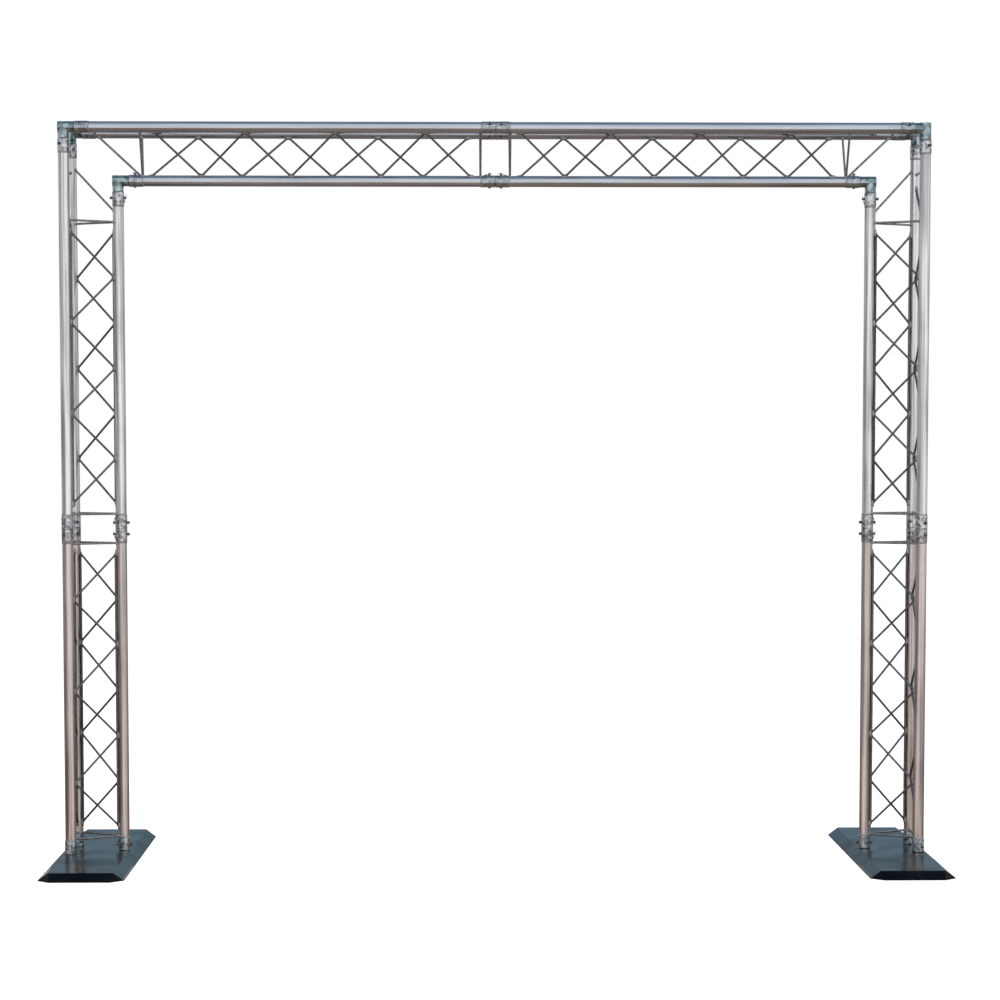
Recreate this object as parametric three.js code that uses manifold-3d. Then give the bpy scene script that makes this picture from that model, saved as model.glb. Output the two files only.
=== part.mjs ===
// Truss goal post: a free-standing gate of triangular aluminium truss on two steel base plates.
// Millimetres, +Z up, X across the gate, Y from front (-) to back (+), origin on the floor at the middle.
import * as THREE from "three";
import { mergeVertices } from "three/addons/utils/BufferGeometryUtils.js";
import { ConvexGeometry } from "three/addons/geometries/ConvexGeometry.js";
import Module from "manifold-3d";

const wasm = await Module();
wasm.setup();

// Driving dimensions of the whole gate
const innerSpan = 2400; // between the axes of the two inner leg chords
const lowerLegLength = 1040;
const upperLegLength = 1070;

// Truss section
const chordSpacing = 185; // centre to centre of any two chords
const chordDiameter = 35;
const chordWall = 1.6;
const barDiameter = 7;
const barBendRadius = 11; // on the centre line of the bent bar

// Places of the bars along a section, from its joint planes
const frameInset = 47; // end frame at a plain joint
const lacingInset = 79; // first bend of the lacing at a plain joint
const beamCornerFrameInset = 44;
const beamCornerLacingInset = 88;
const beamDiagonalInset = 38; // foot of the outer diagonal on the inner chord
const beamDiagonalReach = 103; // head of that diagonal, past the end of the inner chord
const legCornerFrameInset = 95;
const legCornerLacingInset = 127;
const legDiagonalInset = 60;
const legDiagonalReach = 76;
const legHalfWaves = 6;
const beamHalfWaves = 7;

// The back face of the left beam section, bent and welded a little nearer the corner than the others
const leftBackLacingInset = 86;
const leftBackCornerLacingInset = 70;
const leftBackFrameLean = 10; // head of its corner frame bar, past the foot

// Conical receivers, couplers and pins
const receiverDiameter = 38;
const receiverLength = 42;
const mouthDiameter = 29;
const throatDiameter = 25;
const couplerReach = 38; // of a cone into its receiver
const couplerTip = 3; // chamfer at the end of a cone
const pinDiameter = 9;
const pinInset = 18.5; // from the joint plane
const pinTipProud = 8; // past the receiver, at the thin end
const legPinHeadProud = 8;
const beamPinHeadProud = 3;
const pinTipDiameter = 7;

// Elbows
const elbowDiameter = 35;
const elbowArm = 35; // from the corner of the axes to the joint plane

// Base plates, folded from sheet
const plateTopWidth = 200;
const plateTopLength = 1000;
const plateHeight = 25;
const plateSkirt = 34; // how far the sloping skirt runs out
const plateCornerCut = 40; // off the skirt's corners, along the floor
const plateSheet = 4;
const boltDiameter = 12;
const nutAcross = 19;
const nutHeight = 8;

// Clearances
const seatGap = 0.3; // between pieces that touch
const boltClearance = 0.5;
const overrun = 5; // of a cutting tool past what it cuts

// Facets
const chordSides = 12;
const coneSides = 6;
const barSides = 5;
const pinSides = 6;
const nutSides = 6;

// Worked out from the sizes above
const third = (2 * Math.PI) / 3;
const sixth = Math.PI / 6;
const faceDepth = chordSpacing * Math.cos(sixth); // from the inner chord to the plane of the outer two
const halfSpacing = chordSpacing / 2;
const chordRadius = chordDiameter / 2;
const receiverRadius = receiverDiameter / 2;
const elbowRadius = elbowDiameter / 2;
const barRadius = barDiameter / 2;
const halfSpan = innerSpan / 2;
const beamLength = halfSpan - elbowArm;
const footPlane = plateHeight + seatGap / 2;
const middlePlane = footPlane + lowerLegLength;
const topPlane = middlePlane + upperLegLength;
const beamLevel = topPlane + elbowArm;

// Materials
const tubeMetal = new THREE.MeshStandardMaterial({ color: 0xb4b4b8, roughness: 0.34, metalness: 0.9 });
const barMetal = new THREE.MeshStandardMaterial({ color: 0x7d7d80, roughness: 0.42, metalness: 0.85 });
const elbowMetal = new THREE.MeshStandardMaterial({ color: 0xbcc6c8, roughness: 0.26, metalness: 0.9 });
const couplerMetal = new THREE.MeshStandardMaterial({ color: 0xa8acb0, roughness: 0.3, metalness: 0.9 });
const plateSteel = new THREE.MeshStandardMaterial({ color: 0x4a5964, roughness: 0.3, metalness: 0.55 });

// Solids

function toSolid(geometry) {
  const bare = geometry.clone();
  for (const name of Object.keys(bare.attributes)) {
    if (name !== "position") bare.deleteAttribute(name);
  }
  const merged = mergeVertices(bare);
  return new wasm.Manifold(
    new wasm.Mesh({
      numProp: 3,
      vertProperties: merged.attributes.position.array,
      triVerts: new Uint32Array(merged.index.array),
    }),
  );
}

function toGeometry(solid) {
  const mesh = solid.getMesh();
  const geometry = new THREE.BufferGeometry();
  geometry.setAttribute("position", new THREE.BufferAttribute(mesh.vertProperties, 3));
  geometry.setIndex(new THREE.BufferAttribute(mesh.triVerts, 1));
  geometry.computeVertexNormals();
  return geometry;
}

function joined(shapes) {
  return shapes.map(toSolid).reduce((whole, next) => whole.add(next));
}

// A turned shape about Z; the profile is a list of [radius, height] pairs from the bottom up.
function turned(profile, sides) {
  const points = profile.map(([radius, height]) => new THREE.Vector2(radius, height));
  return new THREE.LatheGeometry(points, sides).rotateX(Math.PI / 2);
}

// A plain round bar between two points.
function roundBar(from, to, radius, sides) {
  const along = new THREE.Vector3().subVectors(to, from);
  const bar = new THREE.CylinderGeometry(radius, radius, along.length(), sides);
  const turn = new THREE.Quaternion().setFromUnitVectors(
    new THREE.Vector3(0, 1, 0),
    along.clone().normalize(),
  );
  bar.applyQuaternion(turn);
  const middle = new THREE.Vector3().addVectors(from, to).multiplyScalar(0.5);
  return bar.translate(middle.x, middle.y, middle.z);
}

// A through pin across the Z axis at the given height, thinner at its tip, which points along +X before
// it is turned by the angle.
function pinAcross(angle, height, radius, tipRadius, tipReach, headReach) {
  const pin = new THREE.CylinderGeometry(tipRadius, radius, tipReach + headReach, pinSides);
  pin.rotateZ(-Math.PI / 2);
  pin.translate((tipReach - headReach) / 2, 0, 0);
  pin.rotateZ(angle);
  return pin.translate(0, 0, height);
}

// Bent bar of the lacing: straight runs that meet in two mitred corners at each bend. Its stations are
// the corners, and a sweep with as many steps puts one ring on each.
class BentBar extends THREE.Curve {
  constructor(stations) {
    super();
    this.stations = stations;
  }

  station(share) {
    return this.stations[Math.round(share * (this.stations.length - 1))];
  }

  getPoint(share) {
    return this.station(share).point.clone();
  }

  getPointAt(share) {
    return this.getPoint(share);
  }

  getTangentAt(share) {
    return this.station(share).tangent.clone();
  }
}

// The lean of the straight runs off the chord's direction, and half the flat crown of a bend.
function bendShape(width, pitch) {
  let lean = Math.atan2(width, pitch);
  let halfCrown = 0;
  for (let round = 0; round < 30; round += 1) {
    halfCrown = barBendRadius * Math.tan(lean / 2);
    lean = Math.atan2(width, pitch - 2 * halfCrown);
  }
  return { lean, halfCrown };
}

// The zigzag lies in the XZ plane, with the axis of the first chord at X = 0 and that of the second at
// X = chordSpacing.
function lacingGeometry(firstBend, pitch, halfWaves, startsAtFirst) {
  const nearX = chordRadius + seatGap + barRadius;
  const width = chordSpacing - 2 * nearX;
  const { lean, halfCrown } = bendShape(width, pitch);
  const stations = [];
  for (let bend = 0; bend <= halfWaves; bend += 1) {
    const atFirst = bend % 2 === (startsAtFirst ? 0 : 1);
    const crownX = atFirst ? nearX : nearX + width;
    for (const end of [-1, 1]) {
      if (bend === 0 && end < 0) continue;
      if (bend === halfWaves && end > 0) continue;
      const inward = atFirst ? end : -end;
      stations.push({
        point: new THREE.Vector3(crownX, 0, firstBend + bend * pitch + end * halfCrown),
        tangent: new THREE.Vector3(inward * Math.sin(lean / 2), 0, Math.cos(lean / 2)),
      });
    }
  }
  const section = new THREE.Shape();
  const mitre = 1 / Math.cos(lean / 2); // widens the ring, which is cut at half the lean
  for (let corner = 0; corner < barSides; corner += 1) {
    const angle = (corner * 2 * Math.PI) / barSides;
    const x = barRadius * Math.cos(angle);
    const y = barRadius * mitre * Math.sin(angle);
    if (corner === 0) section.moveTo(x, y);
    else section.lineTo(x, y);
  }
  const sweep = new THREE.ExtrudeGeometry(section, {
    steps: stations.length - 1,
    bevelEnabled: false,
    curveSegments: 1,
    extrudePath: new BentBar(stations),
  });
  return toGeometry(toSolid(sweep));
}

// A chord along Z from 0 to length: a tube with a conical receiver at each end, pin holes through
// the receivers, and the straight bars that are welded to it. A bar lies in the XZ plane, leaves the
// chord's skin at height `from` and meets the next chord, on its tube or its receiver, at height `to`.
function chordGeometry(length, bars, nextLength) {
  const low = seatGap / 2;
  const high = length - seatGap / 2;
  const mouth = mouthDiameter / 2;
  const throat = throatDiameter / 2;
  const bore = chordRadius - chordWall;
  const tube = turned(
    [
      [0, low],
      [receiverRadius, low],
      [receiverRadius, receiverLength],
      [chordRadius, receiverLength],
      [chordRadius, length - receiverLength],
      [receiverRadius, length - receiverLength],
      [receiverRadius, high],
      [0, high],
    ],
    chordSides,
  );
  const welded = bars.map((bar) => {
    const slope = (bar.to - bar.from) / (chordSpacing - chordDiameter);
    const tilt = barRadius * Math.abs(Math.sin(Math.atan(slope)));
    const nearestEnd = Math.min(bar.to, nextLength - bar.to);
    const onReceiver = nearestEnd - barRadius * Math.hypot(1, slope) < receiverLength;
    const stop = chordSpacing - (onReceiver ? receiverRadius : chordRadius) - seatGap - tilt;
    const start = new THREE.Vector3(0, 0, bar.from - slope * chordRadius);
    const end = new THREE.Vector3(stop, 0, bar.from + slope * (stop - chordRadius));
    return roundBar(start, end, barRadius, barSides);
  });
  const hollow = turned(
    [
      [0, receiverLength],
      [bore, receiverLength],
      [bore, length - receiverLength],
      [0, length - receiverLength],
    ],
    chordSides,
  );
  const socket = turned(
    [
      [0, low - overrun],
      [mouth, low - overrun],
      [mouth, low],
      [throat, receiverLength],
      [throat, receiverLength + overrun],
      [0, receiverLength + overrun],
    ],
    coneSides,
  ).rotateZ(sixth);
  const farSocket = socket.clone().rotateX(Math.PI).translate(0, 0, length);
  const holeRadius = pinDiameter / 2 + seatGap;
  const reach = receiverRadius + overrun;
  const holes = [pinInset, length - pinInset].map((height) =>
    pinAcross(sixth, height, holeRadius, holeRadius, reach, reach),
  );
  const cuts = joined([hollow, socket, farSocket, ...holes]);
  return toGeometry(joined([tube, ...welded]).subtract(cuts));
}

// One cone of a coupler, from the joint plane up.
function coneProfile(base) {
  const mouth = mouthDiameter / 2 - seatGap;
  const taper = (mouthDiameter - throatDiameter) / 2 / receiverLength;
  const shoulder = couplerReach - couplerTip;
  return [
    [mouth, base],
    [mouth - taper * shoulder, base + shoulder],
    [mouth - taper * shoulder - couplerTip, base + couplerReach],
    [0, base + couplerReach],
  ];
}

function cone(base) {
  return turned([[0, base], ...coneProfile(base)], coneSides);
}

function pinAt(angle, height, headProud) {
  const tipReach = receiverRadius + pinTipProud;
  const headReach = receiverRadius + headProud;
  return pinAcross(angle, height, pinDiameter / 2, pinTipDiameter / 2, tipReach, headReach);
}

// Two cones base to base, with both pins driven in.
function couplerGeometry(headProud) {
  const upper = coneProfile(0);
  const lower = upper.map(([radius, height]) => [radius, -height]).reverse();
  const double = turned([...lower, ...upper.slice(1)], coneSides);
  const pins = [pinInset, -pinInset].map((height) => pinAt(0, height, headProud));
  return toGeometry(joined([double, ...pins]));
}

// Half coupler for a foot: it stands on the plate, with its bolt and nut below.
function footCouplerGeometry() {
  const low = seatGap / 2;
  const stud = boltDiameter / 2;
  const nutTop = -seatGap / 2 - plateSheet - seatGap;
  const nut = nutAcross / 2 / Math.cos(sixth);
  const bolt = turned(
    [
      [0, nutTop - nutHeight],
      [nut, nutTop - nutHeight],
      [nut, nutTop],
      [stud, nutTop],
      [stud, low],
      [0, low],
    ],
    nutSides,
  );
  return toGeometry(joined([cone(low), bolt, pinAt(0, pinInset, legPinHeadProud)]));
}

// Elbow: one round bar runs through the corner and is squared off past it, the other butts against its
// side, and each arm ends in a cone with one pin. The level arm points along +X, the upright one down.
function elbowGeometry(pinAngle, levelRunsThrough) {
  const arm = elbowArm - seatGap / 2;
  const bar = (past) =>
    turned(
      [
        [0, -past],
        [elbowRadius, -past],
        [elbowRadius, arm],
        [0, arm],
      ],
      chordSides,
    );
  const pinHeight = elbowArm + pinInset;
  const legBar = bar(levelRunsThrough ? 0 : elbowRadius);
  const beamBar = bar(levelRunsThrough ? elbowRadius : 0);
  const legArm = [legBar, cone(arm), pinAt(-pinAngle, pinHeight, legPinHeadProud)];
  const beamArm = [beamBar, cone(arm), pinAt(Math.PI + pinAngle, pinHeight, beamPinHeadProud)];
  legArm.forEach((shape) => shape.rotateX(Math.PI));
  beamArm.forEach((shape) => shape.rotateY(Math.PI / 2));
  return toGeometry(joined([...legArm, ...beamArm]));
}

// Folded base plate: a flat top with four sloping skirts, open below, with a hole for each foot bolt.
function plateGeometry() {
  const slope = Math.atan2(plateHeight, plateSkirt);
  const wallRun = plateSheet / Math.sin(slope);
  const run = plateSkirt / plateHeight; // outward per unit of drop
  // The block bounded by the skirts, drawn in by `inset`, between two heights.
  const block = (inset, top, bottom) => {
    const points = [];
    for (const height of [top, bottom]) {
      const drop = plateHeight - height;
      const halfWidth = plateTopWidth / 2 + drop * run - inset;
      const halfLength = plateTopLength / 2 + drop * run - inset;
      const cut = (plateCornerCut * drop) / plateHeight;
      for (const sideX of [-1, 1]) {
        for (const sideY of [-1, 1]) {
          points.push(new THREE.Vector3(sideX * (halfWidth - cut), sideY * halfLength, height));
          points.push(new THREE.Vector3(sideX * halfWidth, sideY * (halfLength - cut), height));
        }
      }
    }
    return new ConvexGeometry(points);
  };
  const hole = boltDiameter / 2 + boltClearance;
  const holes = chordPlaces().map(([x, y]) => {
    const top = new THREE.Vector3(x - faceDepth / 2, y, plateHeight + overrun);
    const bottom = new THREE.Vector3(x - faceDepth / 2, y, plateHeight - plateSheet - overrun);
    return roundBar(bottom, top, hole, chordSides);
  });
  const hollow = block(wallRun, plateHeight - plateSheet, -overrun);
  return toGeometry(toSolid(block(0, plateHeight, 0)).subtract(joined([hollow, ...holes])));
}

// Places of the three chords in a section's own frame: X outward from the inner chord, Z along it.
function chordPlaces() {
  return [
    [0, 0],
    [faceDepth, -halfSpacing],
    [faceDepth, halfSpacing],
  ];
}

// Assembly

const post = new THREE.Group();

function addMesh(parent, name, geometry, material, x, y, z, turn) {
  const mesh = new THREE.Mesh(geometry, material);
  mesh.name = name;
  mesh.position.set(x, y, z);
  mesh.rotation.z = turn;
  parent.add(mesh);
}

// One truss section in its own frame. `names` has its chords and faces on the -Y (minus) and +Y (plus)
// sides. `corner` says how it ends at an elbow, where its two outer chords run on by the depth of a
// face, and its `plusFace` has what differs on the +Y face.
function trussSection(prefix, length, halfWaves, corner, names, minusStartsInner) {
  const section = new THREE.Group();
  const outerLength = corner ? length + faceDepth : length;
  const farFrame = length - (corner ? corner.frameInset : frameInset);
  const outerFarFrame = outerLength - (corner ? corner.frameInset : frameInset);
  const farBend = length - (corner ? corner.lacingInset : lacingInset);
  const pitch = (farBend - lacingInset) / halfWaves;
  const plusFace = { firstBend: lacingInset, lastBend: farBend, frameLean: 0, ...corner?.plusFace };
  const plusPitch = (plusFace.lastBend - plusFace.firstBend) / halfWaves;
  const frame = (height) => ({ from: height, to: height });
  const innerBars = [frame(frameInset), frame(farFrame)];
  const minusBars = [frame(frameInset), frame(outerFarFrame)];
  const plusBars = [frame(frameInset), { from: farFrame + plusFace.frameLean, to: farFrame }];
  if (corner) {
    const foot = length - corner.diagonalInset;
    const head = length + corner.diagonalReach;
    if (corner.diagonalOnMinus) innerBars.push({ from: foot, to: head });
    else plusBars.push({ from: head, to: foot });
  }
  const faceTurns = [-sixth, third - sixth, 2 * third - sixth];
  const bars = [innerBars, minusBars, plusBars];
  const lengths = [length, outerLength, outerLength];
  const chordNames = [names.inner, names.minus, names.plus];
  chordPlaces().forEach(([x, y], index) => {
    const chord = chordGeometry(lengths[index], bars[index], lengths[(index + 1) % lengths.length]);
    const name = `${prefix}_${chordNames[index]}_chord`;
    addMesh(section, name, chord, tubeMetal, x, y, 0, faceTurns[index]);
  });
  const minusLacing = lacingGeometry(lacingInset, pitch, halfWaves, minusStartsInner);
  addMesh(section, `${prefix}_${names.minus}_lacing`, minusLacing, barMetal, 0, 0, 0, -sixth);
  const plusLacing = lacingGeometry(plusFace.firstBend, plusPitch, halfWaves, !minusStartsInner);
  addMesh(section, `${prefix}_${names.plus}_lacing`, plusLacing, barMetal, 0, 0, 0, sixth);
  const outerWaves = corner ? halfWaves + 1 : halfWaves;
  const outerLacing = lacingGeometry(lacingInset, pitch, outerWaves, true);
  const outerName = `${prefix}_${names.outer}_lacing`;
  addMesh(section, outerName, outerLacing, barMetal, faceDepth, -halfSpacing, 0, Math.PI / 2);
  return section;
}

const legCorner = {
  frameInset: legCornerFrameInset,
  lacingInset: legCornerLacingInset,
  diagonalInset: legDiagonalInset,
  diagonalReach: legDiagonalReach,
};
const beamCorner = {
  frameInset: beamCornerFrameInset,
  lacingInset: beamCornerLacingInset,
  diagonalInset: beamDiagonalInset,
  diagonalReach: beamDiagonalReach,
};
const leftBeamBack = {
  firstBend: leftBackLacingInset,
  lastBend: beamLength - leftBackCornerLacingInset,
  frameLean: leftBackFrameLean,
};

const plainSides = { inner: "inner", minus: "front", plus: "back", outer: "outer" };
const turnedSides = { inner: "inner", minus: "back", plus: "front", outer: "outer" };

const legCoupler = couplerGeometry(legPinHeadProud);
const beamCoupler = couplerGeometry(beamPinHeadProud);
const footCoupler = footCouplerGeometry();
const plate = plateGeometry();
const radialAngles = [0, -2 * sixth, 2 * sixth]; // of the pins in the three chords of a section

// A leg, standing on its plate. The left one is the right one turned half round.
function leg(side, sideNames, lowerStartsInner, diagonalOnMinus) {
  const whole = new THREE.Group();
  const section = (name, length, corner, minusStartsInner) =>
    trussSection(`${side}_${name}_leg`, length, legHalfWaves, corner, sideNames, minusStartsInner);
  const lower = section("lower", lowerLegLength, null, lowerStartsInner);
  lower.position.z = footPlane;
  const upper = section("upper", upperLegLength, { ...legCorner, diagonalOnMinus }, true);
  upper.position.z = middlePlane;
  whole.add(lower, upper);
  const names = [sideNames.inner, sideNames.minus, sideNames.plus];
  chordPlaces().forEach(([x, y], index) => {
    const turn = radialAngles[index];
    const legName = `${side}_leg_${names[index]}_coupler`;
    addMesh(whole, legName, legCoupler, couplerMetal, x, y, middlePlane, turn);
    const footName = `${side}_foot_${names[index]}_coupler`;
    addMesh(whole, footName, footCoupler, couplerMetal, x, y, footPlane, turn);
  });
  addMesh(whole, `${side}_base_plate`, plate, plateSteel, faceDepth / 2, 0, 0, 0);
  whole.position.x = halfSpan;
  return whole;
}

const rightLeg = leg("right", plainSides, true, false);
const leftLeg = leg("left", turnedSides, false, true);
const leftHalf = new THREE.Group();
leftHalf.rotation.z = Math.PI;
leftHalf.add(leftLeg);
post.add(rightLeg, leftHalf);

// A beam half: the section's length runs outward from the middle, its inner chord is the bottom one.
function beamHalf(side, sideNames, diagonalOnMinus, plusFace) {
  const corner = { ...beamCorner, diagonalOnMinus, plusFace };
  const section = trussSection(`${side}_beam`, beamLength, beamHalfWaves, corner, sideNames, true);
  section.rotation.y = -Math.PI / 2;
  section.position.z = beamLevel;
  return section;
}

const beamSides = { inner: "bottom", minus: "front", plus: "back", outer: "top" };
const turnedBeamSides = { inner: "bottom", minus: "back", plus: "front", outer: "top" };
const leftBeam = beamHalf("left", beamSides, false, leftBeamBack);
const rightBeam = new THREE.Group();
rightBeam.rotation.z = Math.PI;
rightBeam.add(beamHalf("right", turnedBeamSides, true));
post.add(leftBeam, rightBeam);

const beamMiddle = new THREE.Group();
beamMiddle.rotation.y = -Math.PI / 2;
beamMiddle.position.z = beamLevel;
const beamNames = ["bottom", "front", "back"];
chordPlaces().forEach(([x, y], index) => {
  const name = `beam_${beamNames[index]}_coupler`;
  addMesh(beamMiddle, name, beamCoupler, couplerMetal, x, y, 0, radialAngles[index]);
});
post.add(beamMiddle);

// The three elbows of a corner, level arms towards +X. Turned half round they make the other corner.
function cornerElbows(side, names, outerLevelRunsThrough) {
  const corner = new THREE.Group();
  const places = [
    [0, 0, 0],
    [-faceDepth, -halfSpacing, faceDepth],
    [-faceDepth, halfSpacing, faceDepth],
  ];
  places.forEach(([x, y, z], index) => {
    const elbow = elbowGeometry(-radialAngles[index], index === 0 || outerLevelRunsThrough);
    addMesh(corner, `${side}_${names[index]}_elbow`, elbow, elbowMetal, x, y, z, 0);
  });
  corner.position.set(-halfSpan, 0, beamLevel);
  return corner;
}

const rightCorner = new THREE.Group();
rightCorner.rotation.z = Math.PI;
rightCorner.add(cornerElbows("right", ["inner", "back", "front"], false));
post.add(cornerElbows("left", ["inner", "front", "back"], true), rightCorner);

export default post;
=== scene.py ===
# Truss goal post: the dressed model round the fixed frame.
# Metres, +Z up, X across the gate, -Y the front.
import math

import bpy
from mathutils import Matrix, Vector


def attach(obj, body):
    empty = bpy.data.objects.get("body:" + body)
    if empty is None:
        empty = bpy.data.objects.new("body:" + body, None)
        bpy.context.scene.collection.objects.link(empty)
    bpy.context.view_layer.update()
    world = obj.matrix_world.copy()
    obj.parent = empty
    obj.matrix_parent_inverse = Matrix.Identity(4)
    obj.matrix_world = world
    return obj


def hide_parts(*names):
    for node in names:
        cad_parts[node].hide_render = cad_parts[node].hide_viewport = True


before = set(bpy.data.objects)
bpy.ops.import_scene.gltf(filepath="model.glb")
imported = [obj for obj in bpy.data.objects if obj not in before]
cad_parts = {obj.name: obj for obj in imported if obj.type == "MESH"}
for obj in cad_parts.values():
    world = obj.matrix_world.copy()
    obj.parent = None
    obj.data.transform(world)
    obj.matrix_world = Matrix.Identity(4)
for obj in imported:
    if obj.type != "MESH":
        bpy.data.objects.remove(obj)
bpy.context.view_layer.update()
print("frame loaded:", len(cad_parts), "nodes")

# The truss, as the frame has it
truss = {
    "spacing": 0.185,            # between the axes of any two chords
    "chordDiameter": 0.035,
    "chordWall": 0.0016,
    "barDiameter": 0.007,
    "bendRadius": 0.011,         # of the lacing, on its centre line
    "seatGap": 0.0003,
    "innerSpan": 2.4,            # between the inner leg chords
    "lowerLeg": 1.04,
    "upperLeg": 1.07,
    "elbowArm": 0.035,
    "plateHeight": 0.025,
    "plateSheet": 0.004,
}
chordRadius = truss["chordDiameter"] / 2
barRadius = truss["barDiameter"] / 2
faceDepth = truss["spacing"] * math.cos(math.pi / 6)
halfSpacing = truss["spacing"] / 2
halfSpan = truss["innerSpan"] / 2
footLevel = truss["plateHeight"] + truss["seatGap"] / 2
middleLevel = footLevel + truss["lowerLeg"]
topLevel = middleLevel + truss["upperLeg"]
beamLevel = topLevel + truss["elbowArm"]
beamLength = halfSpan - truss["elbowArm"]


# Shader graphs

class Value:
    # A socket that Python sums can be done on
    def __init__(self, graph, socket):
        self.graph = graph
        self.socket = socket

    def sum(self, operation, first, second):
        return self.graph.add("ShaderNodeMath", {"operation": operation}, {0: first, 1: second})

    def __add__(self, other):
        return self.sum("ADD", self, other)

    def __sub__(self, other):
        return self.sum("SUBTRACT", self, other)

    def __rsub__(self, other):
        return self.sum("SUBTRACT", other, self)

    def __mul__(self, other):
        return self.sum("MULTIPLY", self, other)

    __radd__ = __add__
    __rmul__ = __mul__


class Graph:
    def __init__(self, tree):
        self.tree = tree
        tree.nodes.clear()

    def add(self, kind, settings=None, inputs=None, output=0):
        node = self.tree.nodes.new(kind)
        for key, setting in (settings or {}).items():
            if key == "stops":
                self.setStops(node.color_ramp, setting)
            else:
                setattr(node, key, setting)
        for key, value in (inputs or {}).items():
            if isinstance(value, Value):
                self.tree.links.new(value.socket, node.inputs[key])
            else:
                node.inputs[key].default_value = value
        return Value(self, node.outputs[output]) if node.outputs else None

    def setStops(self, ramp, stops):
        for index, (place, shade) in enumerate(stops):
            stop = ramp.elements[index] if index < 2 else ramp.elements.new(place)
            stop.position = place
            stop.color = (*shade, 1) if isinstance(shade, tuple) else (shade, shade, shade, 1)


def newMaterial(name):
    material = bpy.data.materials.new(name)
    material.use_nodes = True
    return material, Graph(material.node_tree)


def objectCoordinates(graph, scale):
    place = graph.add("ShaderNodeTexCoord", output="Object")
    return graph.add("ShaderNodeMapping", inputs={"Vector": place, "Scale": scale})


def noise(graph, size, scale=(1, 1, 1), detail=2.0):
    place = objectCoordinates(graph, scale)
    inputs = {"Vector": place, "Scale": size, "Detail": detail}
    return graph.add("ShaderNodeTexNoise", inputs=inputs)


# Black under the low value and white over the high one
def ramp(graph, value, low, high):
    return graph.add("ShaderNodeValToRGB", {"stops": [(low, 0.0), (high, 1.0)]}, {"Fac": value})


# A Mix node takes colours at its inputs 6 and 7 and gives one at its output 2
def mixColour(graph, share, first, second):
    inputs = {0: share}
    for index, colour in ((6, first), (7, second)):
        inputs[index] = colour if isinstance(colour, Value) else (*colour, 1)
    return graph.add("ShaderNodeMix", {"data_type": "RGBA"}, inputs, output=2)


reliefDepth = 0.0004             # of the scratches and grain in all finishes


# Metal with fine lines and broader streaks along one axis, mottled by handling and weather. In the
# receiver and elbow looks the strong dark and bright of that mottle is partly painted reflection:
# dark bands and painted highlights.
def metal(name, look):
    material, graph = newMaterial(name)
    along = look["along"]
    lineScale = tuple(look["lineStretch"] if axis == along else 1.0 for axis in "xyz")
    streakScale = tuple(look["streakStretch"] if axis == along else 1.0 for axis in "xyz")
    lines = noise(graph, look["lineSize"], lineScale)
    streaks = ramp(graph, noise(graph, look["streakSize"], streakScale), *look["streakRange"])
    patchNoise = noise(graph, look["patchSize"], detail=look["patchDetail"])
    patches = ramp(graph, patchNoise, *look["patchRange"])
    speckle = noise(graph, look["speckleSize"])
    patchShare = 1 - look["streakShare"] - look["toneOfLines"]
    tone = patches * patchShare + streaks * look["streakShare"] + lines * look["toneOfLines"]
    roughness = look["roughness"] - look["roughSpread"] / 2 + tone * look["roughSpread"]
    relief = lines * look["lineShare"] + speckle * (1 - look["lineShare"])
    bump = graph.add(
        "ShaderNodeBump",
        inputs={"Strength": look["bump"], "Distance": reliefDepth, "Height": relief},
    )
    surface = graph.add(
        "ShaderNodeBsdfPrincipled",
        inputs={
            "Base Color": mixColour(graph, tone, look["dark"], look["light"]),
            "Metallic": look["metallic"],
            "Roughness": roughness,
            "Normal": bump,
        },
    )
    graph.add("ShaderNodeOutputMaterial", inputs={"Surface": surface})
    return material


tubeLook = {
    "dark": (0.33, 0.33, 0.34), "light": (0.97, 0.955, 0.955), "metallic": 1.0,
    "roughness": 0.29, "roughSpread": 0.12, "bump": 0.12, "along": "z",
    "lineStretch": 0.012, "lineSize": 900.0, "lineShare": 0.8, "toneOfLines": 0.25,
    "streakStretch": 0.02, "streakSize": 115.0, "streakShare": 0.6, "streakRange": (0.4, 0.6),
    "patchSize": 7.0, "patchDetail": 4.0, "patchRange": (0.38, 0.64), "speckleSize": 500.0,
}
legMetal = metal("leg_tube_metal", tubeLook)
# Beam tubes: the tube metal tinted blue and darker than the legs, a painted reflection of a
# blue-grey sky over the gate
beamMetalPaintedSky = metal(
    "beam_tube_metal_painted_sky",
    {**tubeLook, "along": "x", "dark": (0.39, 0.425, 0.475), "light": (0.57, 0.61, 0.675),
     "roughness": 0.22},
)
# Lower leg tubes: the tube metal tinted pinkish-brown, a painted reflection of a warm floor
lowerMetalPaintedReflection = metal(
    "lower_tube_metal_painted_reflection",
    {**tubeLook, "dark": (0.34, 0.305, 0.295), "light": (0.77, 0.7, 0.675)},
)
# Receivers: worn metal whose rings round the tube and strong dark and bright mottle are partly
# painted reflection, dark bands and painted highlights; the couplers share it
receiverLook = {
    **tubeLook, "dark": (0.1, 0.105, 0.12), "light": (0.78, 0.78, 0.785), "roughness": 0.22,
    "bump": 0.2, "lineStretch": 30.0, "lineSize": 60.0, "streakStretch": 1.0, "streakSize": 90.0,
    "patchSize": 45.0,
}
receiverMetal = metal("receiver_metal", receiverLook)
# Beam receivers: the receiver metal tinted blue, a painted reflection of the sky as on the beam
# tubes
beamReceiverPaintedSky = metal(
    "beam_receiver_metal_painted_sky",
    {**receiverLook, "along": "x", "dark": (0.24, 0.27, 0.3), "light": (0.52, 0.57, 0.62)},
)
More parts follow.
